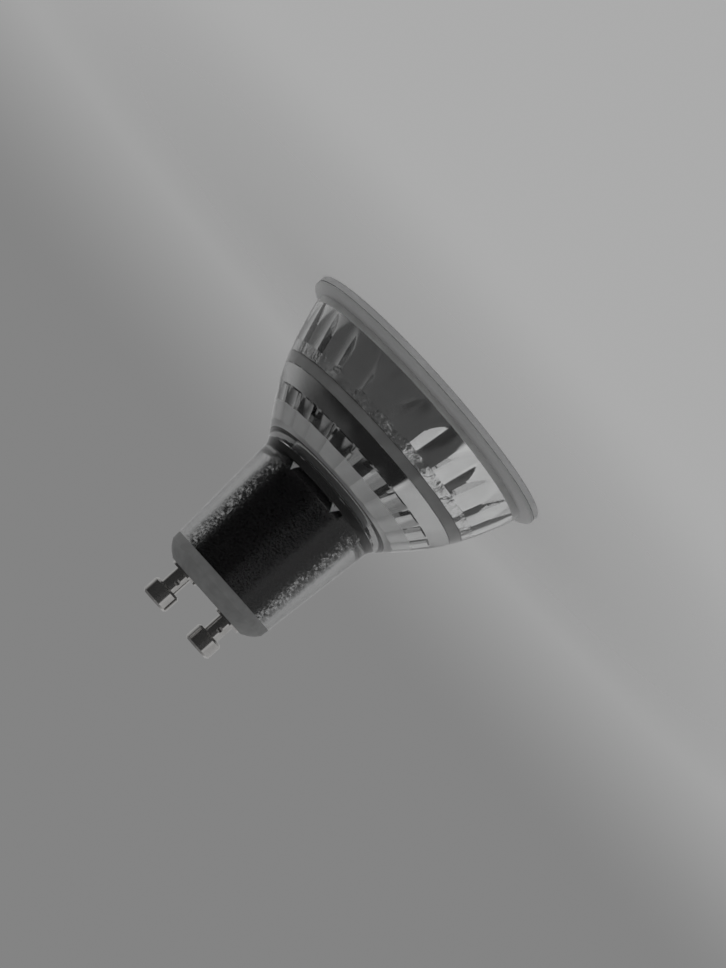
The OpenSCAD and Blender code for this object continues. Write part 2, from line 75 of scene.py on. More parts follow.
# Light: the plain tone of floor and surround, and the soft patches that the polished pieces mirror.
# A patch is a strength. A span of azimuths from the camera's side, positive to its right, or of heights, both in
# degrees, says where one fades into the next. A slope is a start and how far a span moves for each degree past it.
PALE = 0.41
# Seen directly, the surround turns darker above level over these heights: a painted shadow
SURROUND_SHADE = 0.23
SURROUND_SHADE_HEIGHTS = (-8, -2)
FLOOR_HEIGHTS = (-16, -9)
ROOM = 0.055
ROOM_DEEP = 0.014
DEEP_HEIGHTS = (42.5, 47)
DEEP_LEFT_SLOPE = (-45.0, 0.22)
DEEP_RIGHT_SLOPE = (15.0, 0.25)
ROOM_LOW = (0.13, 0.48)
LOW_AZIMUTHS = (-12, 10)
LOW_HEIGHTS = (8, 17)
ROOM_TOP = (0.15, 0.22)
TOP_AZIMUTHS = (-110, -50)
TOP_HEIGHTS = (64.5, 67)
TOP_LEFT_SLOPE = (-35.0, 0.35)
TOP_RIGHT_AZIMUTHS = (12, 26)
TOP_RIGHT_DROP = 12.0
ROOM_FLAT = 0.025
FLAT_HEIGHTS = (4, 8)
FLAT_LEFT_AZIMUTHS = (-135, -100)
FLAT_RIGHT_AZIMUTHS = (38, 44)
FAR_SIDE = 0.4
FAR_LEFT_AZIMUTHS = (-165, -75)
FAR_LEFT_TURN = 10.0
FAR_LEFT_TURN_HEIGHTS = (12, 24)
FAR_RIGHT_AZIMUTHS = (140, 180)
SIDE_LIGHT = 0.5
SIDE_HEIGHTS = (8, 18)
SIDE_AZIMUTHS = (46, 52)
SIDE_SLOPE = (28.0, 0.5)
SIDE_HIGH = (0.29, 0.21)
SIDE_HIGH_HEIGHTS = ((38, 47), (54, 60))
STRIP_GAIN = (1.15, 1.9)
STRIP_HEIGHTS = (37, 42)
STRIP_AZIMUTHS = (52, 66)

# The sheet of paper that the lamp stands on, and where it fades into the surround
PAPER_COLUMNS = 96
PAPER_RADII = (0.5 * MM, 30 * MM, 60 * MM, 100 * MM, 150 * MM, 200 * MM)
PAPER_FADE = (30 * MM, 120 * MM)
PAPER_CLEAR = (0.5, 1.0)

# The glass: the same sizes as the solid has
RIM_R = 25.0 * MM
MOUTH_Z = 1.15 * MM
FLANGE_Z = 2.4 * MM
FLANGE_ROUND_H = 0.95 * MM
FLANGE_ROUND_W = 1.8 * MM
NECK_Z = 23.5 * MM
NECK_R = 11.6 * MM
NECK_FILLET = 0.9 * MM
CORNER_Z = 44.4 * MM
CORNER_R = 10.2 * MM
BASE_Z = 46.5 * MM
BASE_R = 7.9 * MM
MOUTH_R = 21.5 * MM
LAND_Z = 3.0 * MM
UPPER_END_R = 19.2 * MM
SHELF_Z = 9.0 * MM
SHELF_IN = 0.52 * MM
SHELF_END_IN = 0.73 * MM
RING_Z = 10.6 * MM
RING_R = 17.9 * MM
RING_END_R = 17.5 * MM
CONE_Z = 12.2 * MM
CONE_R = 17.2 * MM
CONE_END_R = 15.76 * MM
SEAT_Z = 19.2 * MM
FLOOR_R = 12.95 * MM
SEAT_R = 9.9 * MM
BORE_Z = 20.9 * MM
BORE_TOP_R = 6.45 * MM
BORE_END_R = 6.05 * MM
BORE_END_Z = 43.1 * MM
PIN_X = 5.0 * MM
SHANK_HOLE_R = 0.9 * MM

# The flutes of the two bands
FLUTES = 24
FLUTE_TURN = math.radians(11.6)
UPPER_FLUTE_R = 14.7 * MM
UPPER_FLUTE_START = 0.05 * MM
UPPER_FLUTE_H = 0.95 * MM
LOWER_START_Z = 14.9 * MM
LOWER_BEND_Z = 17.0 * MM
LOWER_FLUTE_R = 9.0 * MM
LOWER_FLUTE_START = 0.34 * MM
LOWER_FLUTE_BEND = 0.42 * MM
LOWER_FLUTE_H = 0.76 * MM
CREASE = 0.03 * MM

# Columns of points round the glass, and how close to an edge the next row of points lies, to keep the edge crisp
FLUTE_STEPS = 15
COLUMNS = FLUTES * FLUTE_STEPS
HOLE_SIDES = 32
BEND_ROW = 0.05 * MM
START_ROWS = (0.12 * MM, 0.2 * MM)
SHELF_ROW = 0.04 * MM
LAND_ROW = 0.06 * MM
FLUTE_END_ROWS = (4.2 * MM, 4.1 * MM)
SHARP = math.radians(24)

# Where finishes begin that the solid has no edge for: the flat ring round the board's seat painted black as the
# shadow of a gap, and the neck's wavy glass
SHADOW_RING_R = 10.5 * MM
NECK_WAVES_Z = NECK_Z + 1.5 * NECK_FILLET

# The bond in the bore: its lip, the pale triangles painted on it as glints, and the noise level above which a
# grain of it is clear
LIP_Z = 21.4 * MM
GLINT_Z = 21.5 * MM
GLINT_H = 2.7 * MM
GLINT_PITCH = math.radians(72)
GLINT_TURN = math.radians(-27.8)
GLINT_HALF = math.radians(7)
GLINT_BLUR = 0.02
# Pale colour of the painted glints, a painted highlight
GLINT_PALE = (0.95, 0.95, 0.95, 1)
GRAIN_SCALE = 2800.0
GRAIN_LEVELS = (0.57, 0.49)
GRAIN_HEIGHTS = (24 * MM, 42 * MM)
GRAIN_END_LEVEL = 0.42
GRAIN_END_Z = 42.5 * MM
GRAIN_BLUR = 0.05

# The lens plate, its chamfer, its skirt, and the radii of its rows of points
LENS_T = 1.0 * MM
LENS_CHAMFER = 0.2 * MM
SKIRT_GAP = 0.15 * MM
SKIRT_T = 0.9 * MM
LENS_FRONT_ROWS = (8 * MM, 16 * MM)
LENS_BACK_ROW = 10 * MM
LENS_COLUMNS = 256

# How much of a noise's range the drift of a colour takes
DRIFT_SPAN = (0.3, 0.7)

# The light board: its mask, its bare metal, and the span of the normal's height in which one meets the other
MASK_WHITE = (0.8, 0.8, 0.78)
BARE_METAL = (0.3, 0.3, 0.305)
BARE_NORMALS = (-0.6, -0.4)

# Curves of the bowl and of the base's corner: shares of their width and height at the four controls
BOWL_WIDTH_SHARES = (1, 0.81, 0.62, 0)
BOWL_HEIGHT_SHARES = (0, 0.377, 0.623, 1)
CORNER_WIDTH_SHARES = (1, 0.62, 0.62, 0)
CORNER_HEIGHT_SHARES = (0, 0.57, 0.57, 1)

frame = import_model()


def between(low, high, steps):
    """Evenly spaced values from low to high, both ends included."""
    return np.linspace(low, high, steps + 1)


def cubic(r_from, r_to, z_from, z_to, width_shares, height_shares, steps, end=1.0):
    """Cubic curve through four controls: weights (1-t)^3, 3t(1-t)^2, 3t^2(1-t), t^3 times radii and heights."""
    t = between(0, end, steps)[:, None]
    weights = np.hstack([(1 - t) ** 3, 3 * t * (1 - t) ** 2, 3 * t * t * (1 - t), t ** 3])
    radii = r_to + np.array(width_shares) * (r_from - r_to)
    heights = z_from + np.array(height_shares) * (z_to - z_from)
    return np.column_stack([weights @ radii, weights @ heights])


def bowl_end():
    """Share of the bowl's curve at which the hollow curve to the neck begins: 1 less its reach over the speed at
    which the curve ends."""
    across = (RIM_R - FLANGE_ROUND_W - NECK_R) * BOWL_WIDTH_SHARES[2]
    along = (NECK_Z - FLANGE_Z) * (1 - BOWL_HEIGHT_SHARES[2])
    return 1 - NECK_FILLET / (3 * math.hypot(across, along))


def bent(start, corner, end, steps):
    """Curve bent towards a corner: (1-t)^2 start + 2t(1-t) corner + t^2 end."""
    t = between(0, 1, steps)[:, None]
    return (1 - t) ** 2 * np.array(start) + 2 * t * (1 - t) * np.array(corner) + t ** 2 * np.array(end)


def line(start, end, steps):
    """Straight run of radius and height between two points."""
    t = between(0, 1, steps)[:, None]
    return np.array(start) * (1 - t) + np.array(end) * t


def soft_min(a, b, width):
    """Smaller of two surfaces, with their crease rounded: (a + b - sqrt((a - b)^2 + width^2)) / 2."""
    return (a + b - np.sqrt((a - b) ** 2 + width ** 2)) / 2


def flute_radius(heights, angles, z_from, z_to, flute):
    """Radius at which a ray from the axis meets the nearest leaning rod: the smaller root of
    (r cos(a) cos(lean) - k)^2 + (r sin(a))^2 = rod^2, where a is the angle from the rod's own middle."""
    r_from, r_to, rod = flute
    lean = math.atan((r_from - r_to) / (z_to - z_from))
    pitch = 2 * math.pi / FLUTES
    a = (angles - FLUTE_TURN + pitch / 2) % pitch - pitch / 2
    k = r_from * math.cos(lean) - (heights - z_from) * math.sin(lean) + rod
    square = (np.cos(a) * math.cos(lean)) ** 2 + np.sin(a) ** 2
    half = k * np.cos(a) * math.cos(lean)
    return (half - np.sqrt(half ** 2 - square * (k ** 2 - rod ** 2))) / square


def mesh_piece(name, points, faces, materials, indices=None):
    """Object at the origin from arrays of points and faces, smooth but for edges sharper than SHARP."""
    mesh = bpy.data.meshes.new(name)
    mesh.from_pydata(points, [], faces)
    for material in materials:
        mesh.materials.append(material)
    if indices is not None:
        mesh.polygons.foreach_set("material_index", indices)
    mesh.polygons.foreach_set("use_smooth", np.ones(len(mesh.polygons), bool))
    mesh.set_sharp_from_angle(angle=SHARP)
    mesh.update()
    piece = bpy.data.objects.new(name, mesh)
    bpy.context.scene.collection.objects.link(piece)
    return piece


def ring_quads(rows, columns):
    """Quads of a grid that closes round on itself: (row, column) to the next row and the next column."""
    row, column = np.meshgrid(np.arange(rows - 1), np.arange(columns), indexing="ij")
    following = (column + 1) % columns
    quads = [row * columns + column, row * columns + following]
    quads += [(row + 1) * columns + following, (row + 1) * columns + column]
    return np.stack(quads, axis=-1).reshape(-1, 4)


def lathe(radii, heights, angles):
    """Points of a surface of revolution: (r cos(a), r sin(a), z), row by row."""
    z = np.broadcast_to(heights, radii.shape)
    return np.stack([radii * np.cos(angles), radii * np.sin(angles), z], axis=-1).reshape(-1, 3)


def node(tree, kind, **inputs):
    """New shader node with its named inputs set."""
    made = tree.nodes.new(kind)
    for name, value in inputs.items():
        made.inputs[name.replace("_", " ")].default_value = value
    return made


def maths(tree, operation, first, second=None):
    """Math node on one or two values, sockets or numbers."""
    made = tree.nodes.new("ShaderNodeMath")
    made.operation = operation
    for socket, value in zip(made.inputs, (first, second)):
        if isinstance(value, (int, float)):
            socket.default_value = value
        elif value is not None:
            tree.links.new(value, socket)
    return made.outputs[0]


def rise(tree, value, start, end):
    """Smooth step from 0 at start to 1 at end."""
    step = tree.nodes.new("ShaderNodeMapRange")
    step.interpolation_type = "SMOOTHSTEP"
    step.inputs["From Min"].default_value = start
    step.inputs["From Max"].default_value = end
    tree.links.new(value, step.inputs["Value"])
    return step.outputs["Result"]


def mix_values(tree, share, low, high):
    """low + share * (high - low), for sockets or numbers."""
    difference = maths(tree, "SUBTRACT", high, low)
    return maths(tree, "ADD", maths(tree, "MULTIPLY", share, difference), low)


def fade(tree, value, span, low, high):
    """Low before a span of the value, high past it, and a smooth change between."""
    return mix_values(tree, rise(tree, value, *span), low, high)


def surface(name, color, roughness, metallic=0.0, speckle=0.06, speckle_scale=400.0, bump=0.0,
            bump_scale=900.0, bump_depth=0.00003, **shader):
    """Procedural finish: the colour drifts by a soft noise on object coordinates and the normal by a finer one.
    The colour changes by the speckle's share to either side, and bumps have a strength, a scale and a depth."""
    material = bpy.data.materials.new(name)
    material.use_nodes = True
    tree = material.node_tree
    tree.nodes.clear()
    output = node(tree, "ShaderNodeOutputMaterial")
    principled = node(tree, "ShaderNodeBsdfPrincipled", Roughness=roughness, Metallic=metallic, **shader)
    tree.links.new(principled.outputs[0], output.inputs["Surface"])
    place = node(tree, "ShaderNodeTexCoord")
    drift = node(tree, "ShaderNodeTexNoise", Scale=speckle_scale, Detail=3.0)
    ramp = node(tree, "ShaderNodeValToRGB")
    dim = [c * (1 - speckle) for c in color]
    bright = [min(1.0, c * (1 + speckle)) for c in color]
    ramp.color_ramp.elements[0].color = (*dim, 1)
    ramp.color_ramp.elements[1].color = (*bright, 1)
    ramp.color_ramp.elements[0].position, ramp.color_ramp.elements[1].position = DRIFT_SPAN
    tree.links.new(place.outputs["Object"], drift.inputs["Vector"])
    tree.links.new(drift.outputs["Fac"], ramp.inputs["Fac"])
    tree.links.new(ramp.outputs["Color"], principled.inputs["Base Color"])
    if bump:
        grain = node(tree, "ShaderNodeTexNoise", Scale=bump_scale, Detail=4.0)
        relief = node(tree, "ShaderNodeBump", Strength=bump, Distance=bump_depth)
        tree.links.new(place.outputs["Object"], grain.inputs["Vector"])
        tree.links.new(grain.outputs["Fac"], relief.inputs["Height"])
        tree.links.new(relief.outputs["Normal"], principled.inputs["Normal"])
    return material


def clear_glass(name, color, roughness, ior, bump, bump_scale, bump_depth):
    """See-through finish with a faint waviness of its surface."""
    return surface(name, color, roughness, speckle=0.01, bump=bump, bump_scale=bump_scale,
                   bump_depth=bump_depth, IOR=ior, Transmission_Weight=1.0)


def shader_of(material):
    """Node tree of a material and the surface shader in it."""
    tree = material.node_tree
    return tree, next(n for n in tree.nodes if n.type == "BSDF_PRINCIPLED")


def bond_finish():
    """Black bond round the driver's sleeve, with a ring of small pale triangles below the seat painted as glints:
    a triangle is where the angle from its middle is less than its half width, falling to nothing at its tip.
    The bond is black in grains only. Between them it is clear gel, of a lower index than glass, so that it
    shows the sleeve where it is faced and mirrors the light at a slant. The clear share grows towards the base."""
    material = surface("bore_bond", (0.007, 0.007, 0.0075), 0.12, speckle=0.3, bump=1.0, bump_scale=2400.0,
                       bump_depth=0.000025, IOR=1.22)
    tree, principled = shader_of(material)
    black = principled.inputs["Base Color"].links[0].from_socket
    place = node(tree, "ShaderNodeTexCoord")
    axes = node(tree, "ShaderNodeSeparateXYZ")
    tree.links.new(place.outputs["Object"], axes.inputs[0])
    x, y, z = axes.outputs
    turn = maths(tree, "ADD", maths(tree, "ARCTAN2", y, x), GLINT_PITCH / 2 - GLINT_TURN + 2 * math.pi)
    aside = maths(tree, "SUBTRACT", maths(tree, "MODULO", turn, GLINT_PITCH), GLINT_PITCH / 2)
    aside = maths(tree, "ABSOLUTE", aside)
    down = maths(tree, "DIVIDE", maths(tree, "SUBTRACT", z, GLINT_Z), GLINT_H)
    half = maths(tree, "MULTIPLY", maths(tree, "SUBTRACT", 1.0, down), GLINT_HALF)
    inside = rise(tree, maths(tree, "SUBTRACT", half, aside), 0.0, GLINT_BLUR)
    # bare marks the triangles that are painted pale as glints: a painted highlight
    bare = maths(tree, "MULTIPLY", inside, maths(tree, "GREATER_THAN", down, 0.0))
    grain = node(tree, "ShaderNodeTexNoise", Scale=GRAIN_SCALE, Detail=2.0)
    tree.links.new(place.outputs["Object"], grain.inputs["Vector"])
    level = fade(tree, z, GRAIN_HEIGHTS, *GRAIN_LEVELS)
    level = fade(tree, z, (GRAIN_END_Z, BORE_END_Z), level, GRAIN_END_LEVEL)
    clear = rise(tree, maths(tree, "SUBTRACT", grain.outputs["Fac"], level), 0.0, GRAIN_BLUR)
    tree.links.new(clear, principled.inputs["Transmission Weight"])
    # Painted highlight: the triangles turn pale, the rest of the bond stays black
    mix = node(tree, "ShaderNodeMixRGB", Color2=GLINT_PALE)
    tree.links.new(bare, mix.inputs["Fac"])
    tree.links.new(black, mix.inputs["Color1"])
    tree.links.new(mix.outputs["Color"], principled.inputs["Base Color"])
    return material


# Finishes of the outside of the glass, of its bore and of the lens
GLASS = clear_glass("pressed_glass", (0.965, 0.972, 0.97), 0.0, 1.5, 0.3, 160.0, 0.00002)
NECK_GLASS = clear_glass("neck_glass", (0.65, 0.655, 0.655), 0.015, 1.5, 0.9, 2600.0, 0.000035)
BASE_GLASS = surface("ground_glass", (0.3, 0.303, 0.303), 0.5, speckle=0.12, speckle_scale=700.0, bump=0.9,
                     bump_scale=1700.0, bump_depth=0.00006, IOR=1.5, Transmission_Weight=0.35)
EDGE_GLASS = surface("edge_glass", (0.8, 0.805, 0.805), 0.28, speckle=0.04, speckle_scale=240.0, bump=0.3,
                     bump_scale=700.0, IOR=1.5, Transmission_Weight=0.45)
BORE = bond_finish()
SEAT_GLASS = clear_glass("seat_glass", (0.8, 0.805, 0.805), 0.04, 1.5, 0.5, 900.0, 0.00002)
LENS = clear_glass("lens_polycarbonate", (0.95, 0.955, 0.96), 0.05, 1.58, 0.3, 900.0, 0.00002)
LENS_EDGE = surface("lens_edge", (0.82, 0.825, 0.83), 0.25, speckle=0.04, speckle_scale=240.0, bump=0.3,
                    bump_scale=600.0, IOR=1.58, Transmission_Weight=0.4)

# Finishes of the inside of the bowl: the mirror film where it is smooth, rippled, dull or missing
FILM = surface("mirror_film", (0.63, 0.63, 0.63), 0.035, 0.97, speckle=0.04, speckle_scale=260.0, bump=0.35,
               bump_scale=220.0, bump_depth=0.00002)
FLUTE_FILM = surface("flute_film", (0.84, 0.84, 0.84), 0.04, 0.9, speckle=0.05, speckle_scale=260.0, bump=0.4,
                     bump_scale=260.0, bump_depth=0.00003)
SHELF_FILM = surface("shelf_film", (0.84, 0.84, 0.84), 0.06, 0.92, speckle=0.08, speckle_scale=500.0, bump=1.0,
                     bump_scale=760.0, bump_depth=0.0003)
RING_FILM = surface("ring_film", (0.36, 0.36, 0.36), 0.6, speckle=0.1, speckle_scale=300.0, bump=0.5,
                    bump_scale=900.0, Specular_IOR_Level=0.2)
BLASTED_FILM = surface("blasted_film", (0.86, 0.86, 0.86), 0.35, 0.4, speckle=0.06, speckle_scale=300.0,
                       bump=0.3, bump_scale=500.0, bump_depth=0.00002)
# Flat ring round the board's seat, painted black as the shadow of a gap: painted shade
SHADOW_RING_FILM = surface("shadow_ring_film", (0.02, 0.02, 0.02), 0.5, speckle=0.15, speckle_scale=600.0, bump=0.6,
                      bump_scale=1400.0, Specular_IOR_Level=0.3)
LAND_GLASS = surface("land_glass", (0.92, 0.92, 0.915), 0.35, speckle=0.08, speckle_scale=300.0, bump=0.4,
                     bump_scale=800.0, IOR=1.5)

GLASS_FINISHES = [GLASS, FILM, BORE, BASE_GLASS, EDGE_GLASS, RING_FILM, BLASTED_FILM, SHADOW_RING_FILM, LAND_GLASS,
                  NECK_GLASS, SEAT_GLASS, FLUTE_FILM, SHELF_FILM]


def cone_wall(z):
    """Radius of the smooth wall at a height: one taper from the step ring to the lower flutes, and a steeper one
    from there to the bowl's floor."""
    return np.interp(z, [CONE_Z, LOWER_START_Z, SEAT_Z], [CONE_R, CONE_END_R, FLOOR_R])


def lower_band(angles):
    """Rows of the lower band from the bowl's floor: the smooth cone, and below their start the innermost of two
    leaning rods, which meet in the bend."""
    start_r = cone_wall(LOWER_START_Z) - LOWER_FLUTE_START
    bend_r = cone_wall(LOWER_BEND_Z) - LOWER_FLUTE_BEND
    end_r = FLOOR_R - LOWER_FLUTE_H
    fluted = np.concatenate([between(SEAT_Z, LOWER_BEND_Z + BEND_ROW, 9), [LOWER_BEND_Z],
                             between(LOWER_BEND_Z - BEND_ROW, LOWER_START_Z, 14)])[:, None]
    first = flute_radius(fluted, angles, LOWER_START_Z, LOWER_BEND_Z, (start_r, bend_r, LOWER_FLUTE_R))
    second = flute_radius(fluted, angles, LOWER_BEND_Z, SEAT_Z, (bend_r, end_r, LOWER_FLUTE_R))
    radii = soft_min(cone_wall(fluted), np.minimum(first, second), CREASE)
    first_row, second_row = START_ROWS
    plain = np.concatenate([[LOWER_START_Z - first_row],
                            between(LOWER_START_Z - second_row, CONE_Z, 6)])[:, None]
    radii = np.concatenate([radii, np.repeat(cone_wall(plain), len(angles), axis=1)])
    return radii, np.concatenate([fluted, plain])[:, 0]


def upper_band(angles):
    """Rows of the upper band from the step ring: shelves that stand in from the wall, then the wall up to the
    straight land, each cut by the leaning rods."""
    draft = MOUTH_R - UPPER_END_R
    crest = (MOUTH_R - UPPER_FLUTE_START, UPPER_END_R - UPPER_FLUTE_H, UPPER_FLUTE_R)
    shelf = between(RING_Z, SHELF_Z + SHELF_ROW, 8)
    wall = np.concatenate([between(SHELF_Z, FLUTE_END_ROWS[0], 22), between(FLUTE_END_ROWS[1], LAND_Z, 12)])
    heights = np.concatenate([shelf, wall])[:, None]
    wall_r = UPPER_END_R + draft * (RING_Z - heights) / (RING_Z - LAND_Z)
    share = np.clip((heights - SHELF_Z) / (RING_Z - SHELF_Z), 0, 1)
    step = np.where(heights > SHELF_Z, SHELF_IN + (SHELF_END_IN - SHELF_IN) * share, 0)
    radii = soft_min(wall_r - step, flute_radius(heights, angles, LAND_Z, RING_Z, crest), CREASE)
    land = between(LAND_Z - LAND_ROW, MOUTH_Z, 8)
    radii = np.concatenate([radii, np.full((len(land), len(angles)), MOUTH_R)])
    return radii, np.concatenate([heights[:, 0], land])


def bowl_film_radii(angles):
    """Rows of the bowl's inside, from the seat of the board to the mouth, as radii for every angle and heights."""
    lower_r, lower_z = lower_band(angles)
    ring = line((RING_END_R, CONE_Z), (RING_R, RING_Z), 5)
    upper_r, upper_z = upper_band(angles)
    ring_r = np.repeat(ring[:, :1], len(angles), axis=1)
    return np.concatenate([lower_r, ring_r, upper_r]), np.concatenate([lower_z, ring[:, 1], upper_z])


def plate_with_holes(rim, z):
    """Flat ring of triangles between a rim of points and the two shank holes, at one height: the points of the
    holes, and triangles that count the rim's points first."""
    turn = between(0, 2 * math.pi, HOLE_SIDES)[:-1]
    holes = [np.column_stack([side * PIN_X + SHANK_HOLE_R * np.cos(turn), SHANK_HOLE_R * np.sin(turn)])
             for side in (-1, 1)]
    loops = [rim[:, :2]] + holes
    triangles = tessellate_polygon([[Vector((*p, 0.0)) for p in loop] for loop in loops])
    points = np.vstack(holes)
    return np.column_stack([points, np.full(len(points), z)]), triangles


def outside_profile():
    """Rows of the glass's outside as radius and height: base corner, neck, hollow curve at the shoulder, bowl,
    rounded flange, rim, and the flat face to the mouth."""
    corner = cubic(CORNER_R, BASE_R, CORNER_Z, BASE_Z, CORNER_WIDTH_SHARES, CORNER_HEIGHT_SHARES, 8)[::-1]
    bowl_top = RIM_R - FLANGE_ROUND_W
    bowl = cubic(bowl_top, NECK_R, FLANGE_Z, NECK_Z, BOWL_WIDTH_SHARES, BOWL_HEIGHT_SHARES, 36, bowl_end())[::-1]
    neck_share = NECK_FILLET / (CORNER_Z - NECK_Z)
    fillet_end = (NECK_R + (CORNER_R - NECK_R) * neck_share, NECK_Z + NECK_FILLET)
    fillet = bent(fillet_end, (NECK_R, NECK_Z), bowl[0], 6)[1:-1]
    neck = line((CORNER_R, CORNER_Z), fillet_end, 14)[1:]
    turn = between(math.pi / 2, 0, 10)[1:]
    flange = np.column_stack([bowl_top + FLANGE_ROUND_W * np.cos(turn),
                              FLANGE_Z - FLANGE_ROUND_H * (1 - np.sin(turn))])
    rim = line((RIM_R, FLANGE_Z - FLANGE_ROUND_H), (RIM_R, MOUTH_Z), 2)[1:]
    face = line((RIM_R, MOUTH_Z), (MOUTH_R, MOUTH_Z), 3)[1:-1]
    return np.vstack([corner, neck, fillet, bowl, flange, rim, face])


def bore_profile():
    """Rows from the bowl's floor into the neck: the flat ring round the board's seat, painted black as a shadow,
    the wall of the board's seat, its flat, the lip of the bond, and the tapered bore down to the glass floor."""
    seat = np.array([[SHADOW_RING_R, SEAT_Z], [SEAT_R, SEAT_Z], [SEAT_R, BORE_Z], [BORE_TOP_R, BORE_Z]])
    lip_r = BORE_TOP_R + (BORE_END_R - BORE_TOP_R) * (LIP_Z - BORE_Z) / (BORE_END_Z - BORE_Z)
    return np.vstack([seat, line((lip_r, LIP_Z), (BORE_END_R, BORE_END_Z), 12)])


def row_finishes(heights, film_first, film_last):
    """Place in GLASS_FINISHES of the finish of each row of faces: the first one that fits the row."""
    z = (heights[:-1] + heights[1:]) / 2
    row = np.arange(len(z))
    outside = row < film_first
    inside = (row >= film_first) & (row < film_last)
    lip = film_last + 4
    fitting = [
        # The flat ring round the board's seat takes the painted shadow
        (row == film_last, SHADOW_RING_FILM),
        (inside & (z > RING_Z) & (z < CONE_Z), RING_FILM),
        (inside & (z > LOWER_BEND_Z), BLASTED_FILM),
        (inside & (z < LAND_Z), LAND_GLASS),
        (inside & (z < SHELF_Z), FLUTE_FILM),
        (inside & (z < RING_Z), SHELF_FILM),
        (inside, FILM),
        ((row > film_last) & (row < lip), SEAT_GLASS),
        (row >= lip, BORE),
        (outside & (z > BORE_END_Z), BASE_GLASS),
        (outside & (z > NECK_WAVES_Z), NECK_GLASS),
        (outside & (z < FLANGE_Z), EDGE_GLASS),
    ]
    places = [GLASS_FINISHES.index(finish) for _, finish in fitting]
    return np.select([fits for fits, _ in fitting], places, GLASS_FINISHES.index(GLASS))


def glass_body():
    """Pressed glass: one profile of rows carried round the axis, outside from base to rim and inside from the
    mouth to the floor of the neck, closed by two plates with the holes of the pins."""
    angles = FLUTE_TURN + 2 * math.pi * (np.arange(COLUMNS) + 0.5) / COLUMNS
    outside = outside_profile()
    film_r, film_z = bowl_film_radii(angles)
    bore = bore_profile()
    outside_r = np.repeat(outside[:, :1], COLUMNS, axis=1)
    bore_r = np.repeat(bore[:, :1], COLUMNS, axis=1)
    radii = np.vstack([outside_r, film_r[::-1], bore_r])
    heights = np.concatenate([outside[:, 1], film_z[::-1], bore[:, 1]])
    points = lathe(radii, heights[:, None], angles)
    faces = ring_quads(len(heights), COLUMNS).tolist()
    indices = np.repeat(row_finishes(heights, len(outside), len(outside) + len(film_z)), COLUMNS)
    total = len(points)
    added = []
    for rim_start, z in ((0, BASE_Z), (total - COLUMNS, BORE_END_Z)):
        holes, triangles = plate_with_holes(points[rim_start:rim_start + COLUMNS], z)
        hole_start = total + sum(map(len, added)) - COLUMNS
        faces += [[i + (rim_start if i < COLUMNS else hole_start) for i in t] for t in triangles]
        added.append(holes)
    next_plate = len(added[0])
    for hole in (total, total + HOLE_SIDES):
        for i in range(HOLE_SIDES):
            a = hole + i
            b = hole + (i + 1) % HOLE_SIDES
            faces.append([a, b, b + next_plate, a + next_plate])
    plain = np.full(len(faces) - len(indices), GLASS_FINISHES.index(BASE_GLASS))
    piece = mesh_piece("glass_body", np.vstack([points] + added), faces, GLASS_FINISHES,
                       np.concatenate([indices, plain]))
    outward(piece)
    return piece


def outward(piece):
    """Turns every face of a closed mesh outwards."""
    shape = bmesh.new()
    shape.from_mesh(piece.data)
    bmesh.ops.recalc_face_normals(shape, faces=shape.faces)
    shape.to_mesh(piece.data)
    shape.free()


def turned(name, profile, columns, materials):
    """Solid of revolution about the axis: a profile of radius and height carried round, with its poles closed."""
    profile = np.array(profile)
    angles = 2 * math.pi * np.arange(columns) / columns
    inner = profile[1:-1]
    points = lathe(np.repeat(inner[:, :1], columns, axis=1), inner[:, 1:], angles)
    faces = ring_quads(len(inner), columns).tolist()
    poles = np.array([[0, 0, profile[0, 1]], [0, 0, profile[-1, 1]]])
    start = len(points)
    last = start - columns
    faces += [[start, (i + 1) % columns, i] for i in range(columns)]
    faces += [[start + 1, last + i, last + (i + 1) % columns] for i in range(columns)]
    piece = mesh_piece(name, np.vstack([points, poles]), faces, materials)
    outward(piece)
    return piece


def lens_plate():
    """Front lens: a flat plate with a chamfered edge and the skirt that centres it in the mouth."""
    skirt_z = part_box("front_lens")[1].z
    skirt_r = MOUTH_R - SKIRT_GAP
    skirt_in = skirt_r - SKIRT_T
    front = [(0, 0)] + [(r, 0) for r in LENS_FRONT_ROWS] + [(RIM_R - LENS_CHAMFER, 0)]
    skirt = [(skirt_r, LENS_T), (skirt_r, skirt_z), (skirt_in, skirt_z), (skirt_in, LENS_T)]
    profile = front + [(RIM_R, LENS_CHAMFER), (RIM_R, LENS_T)] + skirt + [(LENS_BACK_ROW, LENS_T), (0, LENS_T)]
    piece = turned("lens_plate", profile, LENS_COLUMNS, [LENS, LENS_EDGE])
    mesh = piece.data
    centres = np.empty(len(mesh.polygons) * 3)
    mesh.polygons.foreach_get("center", centres)
    x, y, _ = centres.reshape(-1, 3).T
    mesh.polygons.foreach_set("material_index", (np.hypot(x, y) > skirt_in).astype(int))
    return piece


def dress(name, material):
    """Gives a carried-over solid its finish."""
    mesh = frame["nodes"][name].data
    mesh.materials.clear()
    mesh.materials.append(material)


def board_finish():
    """White mask on the board's light face and bare aluminium on its edges and back, told apart by the normal."""
    material = surface("board_mask", MASK_WHITE, 0.4, bump=0.2)
    tree, principled = shader_of(material)
    place = node(tree, "ShaderNodeTexCoord")
    axes = node(tree, "ShaderNodeSeparateXYZ")
    tree.links.new(place.outputs["Normal"], axes.inputs[0])
    bare = rise(tree, axes.outputs[2], *BARE_NORMALS)
    ramp = node(tree, "ShaderNodeValToRGB")
    ramp.color_ramp.elements[0].color = (*MASK_WHITE, 1)
    ramp.color_ramp.elements[1].color = (*BARE_METAL, 1)
    tree.links.new(bare, ramp.inputs["Fac"])
    tree.links.new(ramp.outputs["Color"], principled.inputs["Base Color"])
    tree.links.new(bare, principled.inputs["Metallic"])
    return material


